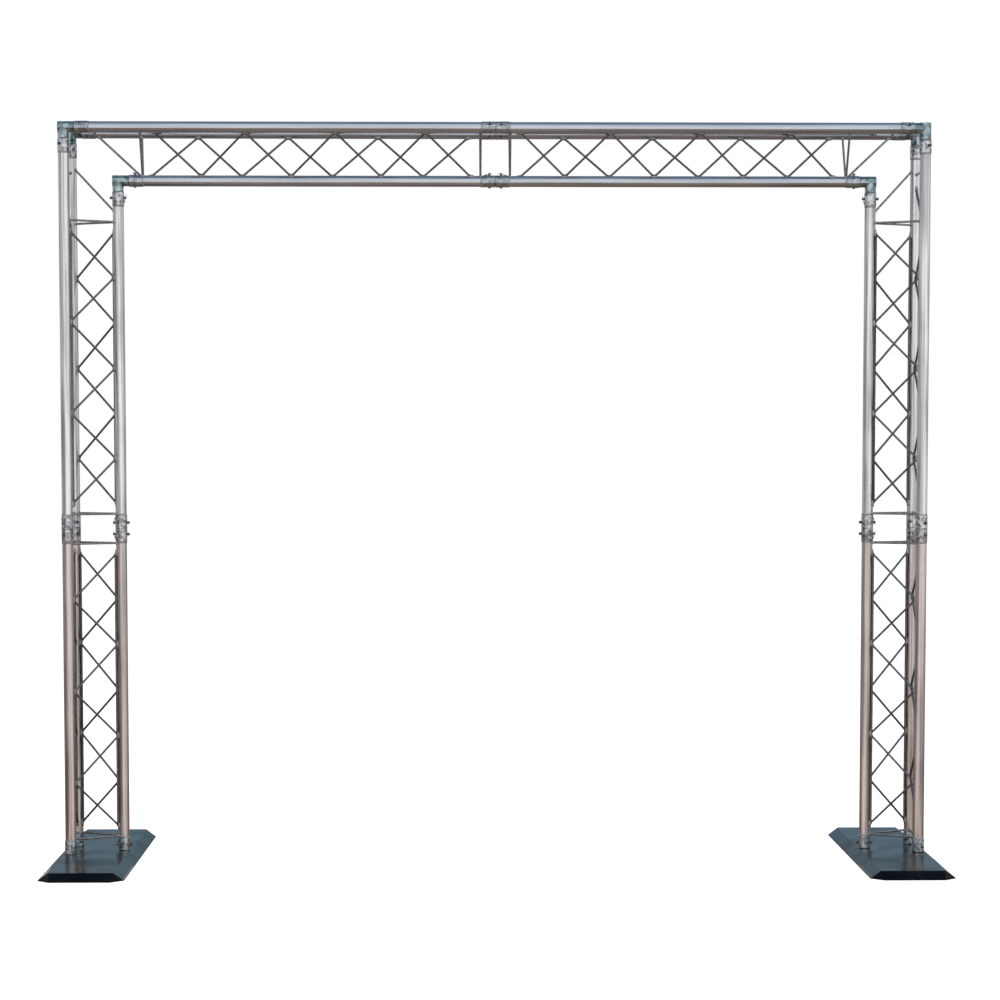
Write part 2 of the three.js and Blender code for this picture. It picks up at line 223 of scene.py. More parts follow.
# Elbows: green-blue metal whose dark patches and bright mottle are partly painted reflection, dark
# edges and painted highlights
elbowMetal = metal(
    "elbow_metal",
    {**receiverLook, "dark": (0.08, 0.15, 0.165), "light": (0.5, 0.61, 0.62), "roughness": 0.16,
     "lineStretch": 1.0, "streakSize": 60.0, "patchSize": 40.0},
)
# Receivers of the lower legs: the receiver metal tinted warm, a painted reflection of the warm
# floor as on the lower tubes
lowerReceiverPaintedReflection = metal(
    "lower_receiver_metal_painted_reflection",
    {**receiverLook, "dark": (0.09, 0.09, 0.1), "light": (0.68, 0.65, 0.635)},
)
# Receivers at the feet: the receiver metal tinted blue, a painted reflection of blue surroundings
footReceiverPaintedReflection = metal(
    "foot_receiver_metal_painted_reflection",
    {**receiverLook, "dark": (0.13, 0.17, 0.21), "light": (0.66, 0.75, 0.82)},
)
couplerMetal = metal("coupler_metal", {**receiverLook, "roughness": 0.3})
barLook = {
    **tubeLook, "dark": (0.1, 0.1, 0.1), "light": (0.22, 0.218, 0.215), "roughness": 0.4,
    "lineStretch": 1.0, "lineSize": 350.0, "streakStretch": 1.0, "patchSize": 18.0,
}
barMetal = metal("bar_metal", barLook)
frameBarMetal = metal(
    "frame_bar_metal",
    {**barLook, "dark": (0.2, 0.2, 0.2), "light": (0.42, 0.415, 0.41)},
)
pinMetal = metal(
    "pin_metal",
    {**barLook, "dark": (0.05, 0.055, 0.065), "light": (0.17, 0.18, 0.2), "roughness": 0.3},
)
clipMetal = metal(
    "clip_metal",
    {**barLook, "dark": (0.3, 0.32, 0.34), "light": (0.55, 0.57, 0.6), "roughness": 0.3},
)
weldLook = {
    **tubeLook, "dark": (0.28, 0.28, 0.285), "light": (0.5, 0.5, 0.5), "roughness": 0.5,
    "lineStretch": 1.0, "lineSize": 700.0, "streakStretch": 1.0, "patchSize": 120.0, "bump": 0.7,
}
weldMetal = metal("weld_metal", weldLook)


# Base plate: dark grey-blue paint, glossy, dusty in patches and rubbed along its length
def platePaint(look):
    material, graph = newMaterial("plate_paint")
    dustNoise = noise(graph, look["dustSize"], detail=look["dustDetail"])
    dust = ramp(graph, dustNoise, *look["dustRange"])
    rubs = noise(graph, look["rubSize"], (1, look["rubStretch"], 1))
    grain = noise(graph, look["grainSize"])
    tone = dust * look["dustShare"] + rubs * look["rubShare"]
    bump = graph.add(
        "ShaderNodeBump",
        inputs={"Strength": look["bump"], "Distance": reliefDepth, "Height": grain + rubs},
    )
    surface = graph.add(
        "ShaderNodeBsdfPrincipled",
        inputs={
            "Base Color": mixColour(graph, tone, look["dark"], look["light"]),
            "Specular IOR Level": look["specular"],
            "Roughness": look["roughness"] + tone * look["roughSpread"],
            "Normal": bump,
        },
    )
    graph.add("ShaderNodeOutputMaterial", inputs={"Surface": surface})
    return material


plateSteel = platePaint({
    "dark": (0.0006, 0.001, 0.003), "light": (0.005, 0.009, 0.013), "specular": 0.1,
    "roughness": 0.15, "roughSpread": 0.22, "bump": 0.06,
    "dustSize": 9.0, "dustDetail": 5.0, "dustRange": (0.45, 0.72), "dustShare": 0.5,
    "rubSize": 160.0, "rubStretch": 0.03, "rubShare": 0.3, "grainSize": 420.0,
})
print("metals and paint made")


# Modelling by hand: everything starts from a primitive and is shaped in edit mode

def clearSelection():
    bpy.ops.object.select_all(action="DESELECT")


def startEdit(piece):
    clearSelection()
    bpy.context.view_layer.objects.active = piece
    piece.select_set(True)
    bpy.ops.object.mode_set(mode="EDIT")


def endEdit():
    bpy.ops.object.mode_set(mode="OBJECT")


# Edit mode with only the points selected that pass a test of their place
def selectWhere(piece, test):
    startEdit(piece)
    bpy.ops.mesh.select_mode(type="VERT")
    bpy.ops.mesh.select_all(action="DESELECT")
    endEdit()
    for vertex in piece.data.vertices:
        vertex.select = test(vertex.co)
    startEdit(piece)


# A ring facing up Z, left selected in edit mode
def startRing(name, sides, radius, place):
    clearSelection()
    bpy.ops.mesh.primitive_circle_add(vertices=sides, radius=radius)
    ring = bpy.context.object
    ring.name = name
    bpy.ops.object.mode_set(mode="EDIT")
    bpy.ops.mesh.select_all(action="SELECT")
    bpy.ops.transform.translate(value=place)
    return ring


def runOn(step):
    bpy.ops.mesh.extrude_region_move(TRANSFORM_OT_translate={"value": step})


# Extrudes a ring up or down Z from one [radius, height] of a profile to the next
def turnProfile(name, profile, sides, hollow=False):
    radius, height = profile[0]
    body = startRing(name, sides, radius, (0, 0, height))
    if not hollow:
        bpy.ops.mesh.edge_face_add()
        bpy.ops.mesh.select_all(action="SELECT")
    for nextRadius, nextHeight in profile[1:]:
        runOn((0, 0, nextHeight - height))
        share = nextRadius / radius
        bpy.ops.transform.resize(value=(share, share, 1), center_override=(0, 0, nextHeight))
        radius, height = nextRadius, nextHeight
    if hollow:
        bpy.ops.mesh.select_all(action="DESELECT")
        bpy.ops.mesh.select_mode(type="EDGE")
        bpy.ops.mesh.select_non_manifold(extend=False)
        bpy.ops.mesh.bridge_edge_loops()
    bpy.ops.mesh.select_all(action="SELECT")
    bpy.ops.mesh.normals_make_consistent(inside=False)
    endEdit()
    return body


# Bends a wire in the XZ plane from the origin, starting up Z. A move is a straight run, or a turn
# towards +X by an angle round a radius.
def bendWire(name, radius, sides, moves, stepAngle):
    wire = startRing(name, sides, radius, (0, 0, 0))
    place = Vector((0, 0, 0))
    heading = 0.0
    for move in moves:
        if "run" in move:
            step = Vector((math.sin(heading), 0, math.cos(heading))) * move["run"]
            runOn(step)
            place += step
            continue
        side = 1 if move["turn"] > 0 else -1
        reach = side * move["radius"]
        centre = place + Vector((math.cos(heading), 0, -math.sin(heading))) * reach
        steps = max(1, round(abs(move["turn"]) / stepAngle))
        bpy.ops.mesh.spin(steps=steps, angle=-move["turn"], center=centre, axis=(0, 1, 0))
        heading += move["turn"]
        place = centre - Vector((math.cos(heading), 0, -math.sin(heading))) * reach
    bpy.ops.mesh.select_all(action="DESELECT")
    bpy.ops.mesh.select_mode(type="EDGE")
    bpy.ops.mesh.select_non_manifold(extend=False)
    bpy.ops.mesh.fill()
    bpy.ops.mesh.select_all(action="SELECT")
    bpy.ops.mesh.normals_make_consistent(inside=False)
    bpy.ops.mesh.select_mode(type="VERT")
    endEdit()
    return wire


def smooth(piece, degrees=35):
    clearSelection()
    piece.select_set(True)
    bpy.context.view_layer.objects.active = piece
    bpy.ops.object.shade_smooth_by_angle(angle=math.radians(degrees))


def copyOf(master, name, place=None):
    piece = master.copy()
    piece.data = master.data.copy()
    piece.name = name
    bpy.context.collection.objects.link(piece)
    if place is not None:
        piece.data.transform(place)
    return piece


def joinAll(name, pieces):
    clearSelection()
    for piece in pieces:
        piece.select_set(True)
    bpy.context.view_layer.objects.active = pieces[0]
    if len(pieces) > 1:
        bpy.ops.object.join()
    whole = bpy.context.view_layer.objects.active
    whole.name = name
    return whole


# Joining keeps the metals of the parts: the first part's come first, and equal ones are merged
def wear(piece, *materials):
    slots = piece.data.materials
    for index, material in enumerate(materials):
        if index < len(slots):
            slots[index] = material
        else:
            slots.append(material)


# A profile from shares of a radius and of a height
def profileOf(shares, radius, height, base=0):
    return [(radius * wide, base + height * high) for wide, high in shares]


masters = {}


# What repeats is modelled once, and its copies are taken from here
def master(key, make):
    if key not in masters:
        masters[key] = make()
    return masters[key]


def finishPiece(piece, node):
    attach(piece, "root")
    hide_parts(node)


def turnZ(angle):
    return Matrix.Rotation(angle, 4, "Z")


def shift(x, y, z):
    return Matrix.Translation((x, y, z))


# Chords: tube, conical receivers with their weld rings, and the welded frame bars

chordShape = {
    "sides": 32,
    "receiverRadius": 0.019,
    "receiverLength": 0.042,
    "mouthRadius": 0.0145,
    "throatRadius": 0.0125,
    "chamfer": 0.0012,
    "weldWidth": 0.005,
    "weldProud": 0.0012,
    "smoothing": 20,             # degrees, so that the weld's edge doesn't tilt the tube's shading
    "barSides": 14,
    "barSink": 0.003,            # into the skins that it meets
    # radius and height of the weld round a bar's end, from inside the skin
    "collar": [(0.00572, -0.003), (0.0052, 0.0009), (0.00442, 0.0027), (0.003395, 0.0045)],
}
chordSlots = {"receiver": 1, "weld": 2, "lowReceiver": 4}


def wearChord(piece, tube, receiver, lowReceiver):
    wear(piece, tube, receiver, weldMetal, frameBarMetal, lowReceiver)


def makeTube(length):
    shape = chordShape
    low = truss["seatGap"] / 2
    receiver = shape["receiverRadius"]
    end = shape["receiverLength"]
    chamfer = shape["chamfer"]
    bore = chordRadius - truss["chordWall"]
    weldEnd = end + shape["weldWidth"]
    outside = [
        (receiver - chamfer, low),
        (receiver, low + chamfer),
        (receiver, end - chamfer),
        (receiver - chamfer / 2, end),
        (chordRadius + shape["weldProud"], end + shape["weldWidth"] / 2),
        (chordRadius, weldEnd),
    ]
    inside = [(bore, end), (shape["throatRadius"], end), (shape["mouthRadius"], low)]
    up = outside + [(radius, length - height) for radius, height in reversed(outside)]
    down = [(radius, length - height) for radius, height in reversed(inside)] + inside
    tube = turnProfile("tube", up + down, shape["sides"], hollow=True)
    wearChord(tube, legMetal, receiverMetal, footReceiverPaintedReflection)
    for face in tube.data.polygons:
        fromEnd = min(face.center.z, length - face.center.z)
        if face.center.z < end:
            face.material_index = chordSlots["lowReceiver"]
        elif fromEnd < end:
            face.material_index = chordSlots["receiver"]
        elif fromEnd < weldEnd:
            face.material_index = chordSlots["weld"]
    smooth(tube, shape["smoothing"])
    return tube


# A frame bar or diagonal, from the chord's skin at one height to the next chord's skin at another
def makeBar(start, end):
    shape = chordShape
    reach = truss["spacing"] - truss["chordDiameter"]
    run = math.hypot(reach, end - start)
    sink = shape["barSink"]
    bar = turnProfile("bar", [(barRadius, -sink), (barRadius, run + sink)], shape["barSides"])
    wear(bar, frameBarMetal)
    parts = [bar]
    for far in (False, True):
        collar = turnProfile("collar", shape["collar"], shape["barSides"])
        wear(collar, weldMetal)
        if far:
            collar.data.transform(shift(0, 0, run) @ Matrix.Rotation(math.pi, 4, "X"))
        parts.append(collar)
    whole = joinAll("bar", parts)
    lean = math.atan2(reach, end - start)
    whole.data.transform(shift(chordRadius, 0, start) @ Matrix.Rotation(lean, 4, "Y"))
    smooth(whole)
    return whole


# Lacing: a round bar bent to a zigzag, welded to a chord at each bend

lacingShape = {
    "sides": 12,
    "stepAngle": math.radians(14),
    "weldDepth": 0.0078,
    "weldWidth": 0.0108,
    "weldLength": 0.022,
    # shares of half the width and half the length, from an end to the middle
    "weldProfile": [(0.45, 1.0), (0.9, 0.75), (1.0, 0.25)],
    "weldOffset": 0.0028,        # from the bar's axis to its chord
    "weldSides": 8,
    "weldSmoothing": 80,
}


def makeWeld():
    shape = lacingShape
    lower = profileOf(shape["weldProfile"], shape["weldWidth"] / 2, -shape["weldLength"] / 2)
    upper = [(radius, -height) for radius, height in reversed(lower)]
    weld = turnProfile("weld", lower + upper, shape["weldSides"])
    flatness = shape["weldDepth"] / shape["weldWidth"]
    startEdit(weld)
    bpy.ops.mesh.select_all(action="SELECT")
    bpy.ops.transform.resize(value=(flatness, 1, 1), center_override=(0, 0, 0))
    endEdit()
    wear(weld, weldMetal)
    smooth(weld, shape["weldSmoothing"])
    return weld


def makeLacing(firstBend, pitch, halfWaves, startsAtFirst):
    shape = lacingShape
    near = chordRadius + truss["seatGap"] + barRadius
    width = truss["spacing"] - 2 * near
    bend = truss["bendRadius"]
    lean = math.atan2(width, pitch)
    for _ in range(30):          # until runs and bends together fit the width and the pitch
        lean = math.atan2(width, pitch - 2 * bend * math.tan(lean / 2))
    straight = (pitch - 2 * bend * math.sin(lean)) / math.cos(lean)
    moves = []
    side = 1 if startsAtFirst else -1
    for index in range(halfWaves + 1):
        plain = 0 < index < halfWaves
        moves.append({"turn": side * lean * (2 if plain else 1), "radius": bend})
        if index < halfWaves:
            moves.append({"run": straight})
        side = -side
    bar = bendWire("lacing", barRadius, shape["sides"], moves, shape["stepAngle"])
    wear(bar, barMetal)
    smooth(bar)
    bar.data.transform(shift(near if startsAtFirst else near + width, 0, firstBend))
    parts = [bar]
    for index in range(halfWaves + 1):
        atFirst = (index % 2 == 0) == startsAtFirst
        seat = near - shape["weldOffset"] if atFirst else near + width + shape["weldOffset"]
        spot = shift(seat, 0, firstBend + index * pitch)
        parts.append(copyOf(master("weld", makeWeld), "weld", spot))
    return joinAll("lacing", parts)


# Pins: tapered, chamfered, held by an R-shaped spring clip through the thin end. In the beam they
# are driven in further, so that their heads stand out less.

pinShape = {
    "radius": 0.0045,
    "tipRadius": 0.0035,
    "inset": 0.0185,             # from the joint plane
    "tipProud": 0.008,           # past the receiver
    "legHeadProud": 0.008,
    "beamHeadProud": 0.003,
    "chamfer": 0.0012,
    "endShare": 0.6,             # of the radius, left flat inside the chamfer
    "sides": 16,
    "clipWire": 0.0012,
    "clipSides": 8,
    "clipStepAngle": math.radians(20),
    "clipSmoothing": 60,
    "clipStart": -0.0062,        # of its straight leg, from the pin's axis
    "clipFromTip": 0.0035,
    "clipRoll": math.radians(8),
    "clipDroop": math.radians(-13),
}


# A straight leg through the pin, a loop, and a waved leg that grips the pin from outside
def makeClip():
    shape = pinShape
    wire = shape["clipWire"]
    grip = shape["tipRadius"] + wire
    moves = [
        {"run": 0.02},
        {"turn": math.radians(205), "radius": 0.0032},
        {"run": 0.0075},
        {"turn": math.radians(-60), "radius": 0.003},
        {"turn": math.radians(70), "radius": grip},
        {"turn": math.radians(-65), "radius": 0.003},
        {"run": 0.0025},
    ]
    clip = bendWire("clip", wire, shape["clipSides"], moves, shape["clipStepAngle"])
    clip.data.transform(shift(0, 0, shape["clipStart"]))
    wear(clip, clipMetal)
    smooth(clip, shape["clipSmoothing"])
    return clip


# A pin along X, thin end at +X, with its clip through that end along Z and drooping a little
def makePin(headProud):
    shape = pinShape
    chamfer = shape["chamfer"]
    tip = chordShape["receiverRadius"] + shape["tipProud"]
    head = -chordShape["receiverRadius"] - headProud
    profile = [
        (shape["radius"] * shape["endShare"], head),
        (shape["radius"], head + chamfer),
        (shape["tipRadius"], tip - chamfer),
        (shape["tipRadius"] * shape["endShare"], tip),
    ]
    pin = turnProfile("pin", profile, shape["sides"])
    pin.data.transform(Matrix.Rotation(math.pi / 2, 4, "Y"))
    wear(pin, pinMetal)
    smooth(pin)
    clip = copyOf(master("clip", makeClip), "clip")
    droop = Matrix.Rotation(shape["clipDroop"], 4, "Y")
    hole = shift(tip - shape["clipFromTip"], 0, 0)
    clip.data.transform(hole @ droop @ turnZ(math.pi / 2 + shape["clipRoll"]))
    return joinAll("pin", [pin, clip])


# Couplers: two cones base to base, and a half one with its bolt for each foot

couplerShape = {
    "sides": 24,
    "reach": 0.038,
    "tip": 0.003,
    # the profiles are shares of a radius, and of a height down from the top
    "washerRadius": 0.012,
    "washerHeight": 0.0015,
    "washerProfile": [(0.97, 1.0), (1.0, 0.5), (0.97, 0.0)],
    "washerSides": 20,
    "nutAcross": 0.019,
    "nutHeight": 0.0065,
    "nutProfile": [(0.9, 1.0), (1.0, 0.85), (1.0, 0.1), (0.95, 0.0)],
    "nutSides": 6,
    "boltRadius": 0.006,
    "boltRise": 0.002,           # into the cone
    "boltDrop": 0.00637,         # below the washer
    "boltSides": 14,
}


def coneProfile(base):
    mouth = chordShape["mouthRadius"] - truss["seatGap"]
    taper = (chordShape["mouthRadius"] - chordShape["throatRadius"]) / chordShape["receiverLength"]
    shoulder = couplerShape["reach"] - couplerShape["tip"]
    shoulderRadius = mouth - taper * shoulder
    return [
        (mouth, base),
        (shoulderRadius, base + shoulder),
        (shoulderRadius - couplerShape["tip"], base + couplerShape["reach"]),
    ]


# The clip of a pin points away from the joint plane
def pinnedAt(angle, height, headProud):
    away = Matrix.Rotation(0 if height > 0 else math.pi, 4, "X")
    pin = master(("pin", headProud), lambda: makePin(headProud))
    return copyOf(pin, "pin", shift(0, 0, height) @ turnZ(angle) @ away)


def makeCoupler(headProud):
    upper = coneProfile(0)
    lower = [(radius, -height) for radius, height in reversed(upper)]
    body = turnProfile("coupler", lower + upper[1:], couplerShape["sides"])
    wear(body, couplerMetal)
    smooth(body)
    inset = pinShape["inset"]
    pins = [pinnedAt(0, height, headProud) for height in (inset, -inset)]
    return joinAll("coupler", [body, *pins])


def makeFootCoupler():
    shape = couplerShape
    low = truss["seatGap"] / 2
    body = turnProfile("foot", coneProfile(low), shape["sides"])
    wear(body, couplerMetal)
    smooth(body)
    under = -truss["seatGap"] - truss["plateSheet"]
    nutTop = under - shape["washerHeight"]
    nutRadius = shape["nutAcross"] / 2 / math.cos(math.pi / shape["nutSides"])
    washer = profileOf(shape["washerProfile"], shape["washerRadius"], -shape["washerHeight"], under)
    nut = profileOf(shape["nutProfile"], nutRadius, -shape["nutHeight"], nutTop)
    bolt = [
        (shape["boltRadius"], nutTop - shape["boltDrop"]),
        (shape["boltRadius"], low + shape["boltRise"]),
    ]
    turnings = [
        turnProfile("washer", washer, shape["washerSides"]),
        turnProfile("nut", nut, shape["nutSides"]),
        turnProfile("bolt", bolt, shape["boltSides"]),
    ]
    for piece in turnings:
        wear(piece, pinMetal)
        smooth(piece)
    pin = pinnedAt(0, pinShape["inset"], pinShape["legHeadProud"])
    return joinAll("foot", [body, pin, *turnings])


# Elbows: one bar runs through the corner and is squared off past it, and the other is welded to
# its side

elbowShape = {
    "radius": 0.0175,
    "sides": 32,
    "chamfer": 0.001,
    "weldRadius": 0.0014,
    "weldSides": 8,
    "weldSmoothing": 60,
}


def makeElbow(pinAngle, levelRunsThrough):
    shape = elbowShape
    radius = shape["radius"]
    chamfer = shape["chamfer"]
    arm = truss["elbowArm"] - truss["seatGap"] / 2
    cone = coneProfile(arm)
    pinHeight = truss["elbowArm"] + pinShape["inset"]
    end = [(radius, arm - chamfer), (radius - chamfer, arm), *cone]
    through = [(radius - chamfer, -radius), (radius, -radius + chamfer), *end]
    butted = [(radius, 0), *end]
    levelBar = turnProfile("elbow", through if levelRunsThrough else butted, shape["sides"])
    legBar = turnProfile("leg_bar", butted if levelRunsThrough else through, shape["sides"])
    levelPin = pinnedAt(math.pi + pinAngle, pinHeight, pinShape["beamHeadProud"])
    legPin = pinnedAt(-pinAngle, pinHeight, pinShape["legHeadProud"])
    seam = makeSeam()
    toLevel = Matrix.Rotation(math.pi / 2, 4, "Y")
    toLeg = Matrix.Rotation(math.pi, 4, "X")
    for piece in (levelBar, levelPin):
        piece.data.transform(toLevel)
    for piece in (legBar, legPin):
        piece.data.transform(toLeg)
    seam.data.transform(toLeg if levelRunsThrough else toLevel)
    for piece in (levelBar, legBar):
        wear(piece, elbowMetal)
        smooth(piece)
    return joinAll("elbow", [levelBar, legBar, levelPin, legPin, seam])


# The bead where a bar up Z meets the side of one along X of the same size
def makeSeam():
    shape = elbowShape
    radius = shape["radius"]
    segments = shape["sides"]
    clearSelection()
    bpy.ops.mesh.primitive_torus_add(
        major_segments=segments, minor_segments=shape["weldSides"],
        major_radius=radius, minor_radius=shape["weldRadius"],
    )
    seam = bpy.context.object
    halfStep = math.cos(math.pi / segments)
    for step in range(segments):
        angle = step * 2 * math.pi / segments
        selectWhere(seam, lambda spot: math.cos(math.atan2(spot.y, spot.x) - angle) > halfStep)
        bpy.ops.transform.translate(value=(0, 0, radius * abs(math.cos(angle))))
        endEdit()
    wear(seam, weldMetal)
    smooth(seam, shape["weldSmoothing"])
    return seam


# Base plates: sheet folded down on four sides, its skirt's corners cut off along the floor

plateShape = {
    "topWidth": 0.2,
    "topLength": 1.0,
    "skirt": 0.034,
    "cornerCut": 0.04,
    "topCorner": 0.002,
    "fold": 0.0022,
    "foldSteps": 3,
    "foldFrom": math.radians(20),
    "near": 0.0005,              # a point this close to a corner is the corner
    "footHeight": 0.006,         # points under it are the skirt's lower edges
}


def makePlate():
    shape = plateShape
    halfWidth = shape["topWidth"] / 2
    halfLength = shape["topLength"] / 2
    clearSelection()
    bpy.ops.mesh.primitive_plane_add(size=1)
    plate = bpy.context.object
    bpy.ops.object.mode_set(mode="EDIT")
    bpy.ops.mesh.select_all(action="SELECT")
    size = (shape["topWidth"], shape["topLength"], 1)
    bpy.ops.transform.resize(value=size, center_override=(0, 0, 0))
    bpy.ops.transform.translate(value=(0, 0, truss["plateHeight"]))
    bpy.ops.mesh.bevel(offset=shape["topCorner"], segments=1, affect="VERTICES")
    bpy.ops.mesh.select_mode(type="EDGE")
    bpy.ops.mesh.select_all(action="DESELECT")
    bpy.ops.mesh.select_non_manifold(extend=False)
    bpy.ops.mesh.extrude_edges_move(TRANSFORM_OT_translate={"value": (0, 0, -truss["plateHeight"])})
    endEdit()
    for sideX in (-1, 1):
        for sideY in (-1, 1):
            # the point on the long side and the one on the short side of this corner
            for alongX in (False, True):
                x = halfWidth - (shape["topCorner"] if alongX else 0)
                y = halfLength - (0 if alongX else shape["topCorner"])
                corner = Vector((sideX * x, sideY * y, 0))
                endX = halfWidth + shape["skirt"] - (shape["cornerCut"] if alongX else 0)
                endY = halfLength + shape["skirt"] - (0 if alongX else shape["cornerCut"])
                outward = Vector((sideX * endX, sideY * endY, 0)) - corner
                selectWhere(plate, lambda spot: (spot - corner).length < shape["near"])
                bpy.ops.transform.translate(value=outward)
                endEdit()
    startEdit(plate)
    bpy.ops.mesh.select_all(action="SELECT")
    bpy.ops.mesh.normals_make_consistent(inside=False)
    endEdit()
    thicken = plate.modifiers.new("sheet", "SOLIDIFY")
    thicken.thickness = truss["plateSheet"]
    thicken.offset = -1
    thicken.use_even_offset = True
    bpy.ops.object.modifier_apply(modifier="sheet")
    flattenFoot(plate)
    fold = plate.modifiers.new("fold", "BEVEL")
    fold.width = shape["fold"]
    fold.segments = shape["foldSteps"]
    fold.limit_method = "ANGLE"
    fold.angle_limit = shape["foldFrom"]
    bpy.ops.object.modifier_apply(modifier="fold")
    wear(plate, plateSteel)
    smooth(plate)
    flatten = plate.modifiers.new("shading", "WEIGHTED_NORMAL")
    flatten.keep_sharp = True    # the flats stay flat to the light up to their folds
    bpy.ops.object.modifier_apply(modifier="shading")
    return plate


# The skirt's lower edges rest flat on the floor
def flattenFoot(plate):
    selectWhere(plate, lambda spot: spot.z < plateShape["footHeight"])
    bpy.ops.transform.resize(value=(1, 1, 0), center_override=(0, 0, 0))
    endEdit()


# Placing: every section has its inner chord on Z, and its outer two on the +X side

chordPlaces = [(0, 0), (faceDepth, -halfSpacing), (faceDepth, halfSpacing)]
faceTurns = [math.radians(-30), math.radians(90), math.radians(210)]    # from each to the next
pinAngles = [0, math.radians(-60), math.radians(60)]
halfRound = turnZ(math.pi)
onBeam = shift(0, 0, beamLevel) @ Matrix.Rotation(-math.pi / 2, 4, "Y")

joints = {"frameInset": 0.047, "lacingInset": 0.079}
legCorner = {
    "frameInset": 0.095, "lacingInset": 0.127, "diagonalInset": 0.06, "diagonalReach": 0.076,
}
beamCorner = {
    "frameInset": 0.044, "lacingInset": 0.088, "diagonalInset": 0.038, "diagonalReach": 0.103,
}
# The back face of the left beam section sits a little nearer the corner
leftBeamBack = {"firstBend": 0.086, "lastBend": beamLength - 0.07, "frameLean": 0.01}

lowerLeg = {
    "length": truss["lowerLeg"], "halfWaves": 6, "corner": None, "outer": "outer",
    "metals": [lowerMetalPaintedReflection, lowerReceiverPaintedReflection, footReceiverPaintedReflection],
}
upperLeg = {
    "length": truss["upperLeg"], "halfWaves": 6, "corner": legCorner, "outer": "outer",
    "metals": [legMetal, receiverMetal, receiverMetal],
}
beamHalf = {
    "length": beamLength, "halfWaves": 7, "corner": beamCorner, "outer": "top",
    "metals": [beamMetalPaintedSky, beamReceiverPaintedSky, beamReceiverPaintedSky],
}

# `names` are the chords at the three places. A face is named after the chord that it shares a
# side with.
sections = [
    {**lowerLeg, "prefix": "right_lower_leg", "place": shift(halfSpan, 0, footLevel),
     "names": ["inner", "front", "back"], "startsInner": True, "diagonalOnMinus": False},
    {**upperLeg, "prefix": "right_upper_leg", "place": shift(halfSpan, 0, middleLevel),
     "names": ["inner", "front", "back"], "startsInner": True, "diagonalOnMinus": False},
    {**lowerLeg, "prefix": "left_lower_leg", "place": halfRound @ shift(halfSpan, 0, footLevel),
     "names": ["inner", "back", "front"], "startsInner": False, "diagonalOnMinus": True},
    {**upperLeg, "prefix": "left_upper_leg", "place": halfRound @ shift(halfSpan, 0, middleLevel),
     "names": ["inner", "back", "front"], "startsInner": True, "diagonalOnMinus": True},
    {**beamHalf, "prefix": "left_beam", "place": onBeam, "backFace": leftBeamBack,
     "names": ["bottom", "front", "back"], "startsInner": True, "diagonalOnMinus": False},
    {**beamHalf, "prefix": "right_beam", "place": halfRound @ onBeam,
     "names": ["bottom", "back", "front"], "startsInner": True, "diagonalOnMinus": True},
]


def barsOf(section):
    length = section["length"]
    corner = section["corner"]
    ending = corner or joints
    outerLength = length + faceDepth if corner else length
    near = (joints["frameInset"], joints["frameInset"])
    far = (length - ending["frameInset"], length - ending["frameInset"])
    outerFar = (outerLength - ending["frameInset"], outerLength - ending["frameInset"])
    leaning = (far[0] + section.get("backFace", {}).get("frameLean", 0), far[1])
    bars = [[near, far], [near, outerFar], [near, leaning]]
    if corner:
        foot = length - corner["diagonalInset"]
        head = length + corner["diagonalReach"]
        if section["diagonalOnMinus"]:
            bars[0].append((foot, head))
        else:
            bars[2].append((head, foot))
    return [length, outerLength, outerLength], bars


def addSection(section):
    prefix = section["prefix"]
    lengths, bars = barsOf(section)
    for index, (x, y) in enumerate(chordPlaces):
        node = f"{prefix}_{section['names'][index]}_chord"
        spot = section["place"] @ shift(x, y, 0) @ turnZ(faceTurns[index])
        length = lengths[index]
        parts = [copyOf(master(("tube", length), lambda: makeTube(length)), node, spot)]
        for start, end in bars[index]:
            bar = master(("bar", start, end), lambda: makeBar(start, end))
            parts.append(copyOf(bar, "bar", spot))
        piece = joinAll(node.replace("_chord", "_tube"), parts)
        wearChord(piece, *section["metals"])
        finishPiece(piece, node)
    ending = section["corner"] or joints
    first = joints["lacingInset"]
    last = section["length"] - ending["lacingInset"]
    waves = section["halfWaves"]
    pitch = (last - first) / waves
    back = section.get("backFace", {"firstBend": first, "lastBend": last})
    backPitch = (back["lastBend"] - back["firstBend"]) / waves
    starts = section["startsInner"]
    outerTurn = shift(faceDepth, -halfSpacing, 0) @ turnZ(math.pi / 2)
    outerWaves = waves + 1 if section["corner"] else waves
    faces = [
        (section["names"][1], turnZ(math.radians(-30)), first, pitch, waves, starts),
        (section["names"][2], turnZ(math.radians(30)), back["firstBend"], backPitch, waves,
         not starts),
        (section["outer"], outerTurn, first, pitch, outerWaves, True),
    ]
    for name, turn, start, step, count, startsAtFirst in faces:
        node = f"{prefix}_{name}_lacing"
        key = ("lacing", start, round(step, 6), count, startsAtFirst)
        bent = master(key, lambda: makeLacing(start, step, count, startsAtFirst))
        piece = copyOf(bent, node.replace("_lacing", "_zigzag"), section["place"] @ turn)
        finishPiece(piece, node)


for section in sections:
    addSection(section)
    print("section made:", section["prefix"])


def addPiece(key, make, node, name, place):
    piece = copyOf(master(key, make), name, place)
    finishPiece(piece, node)


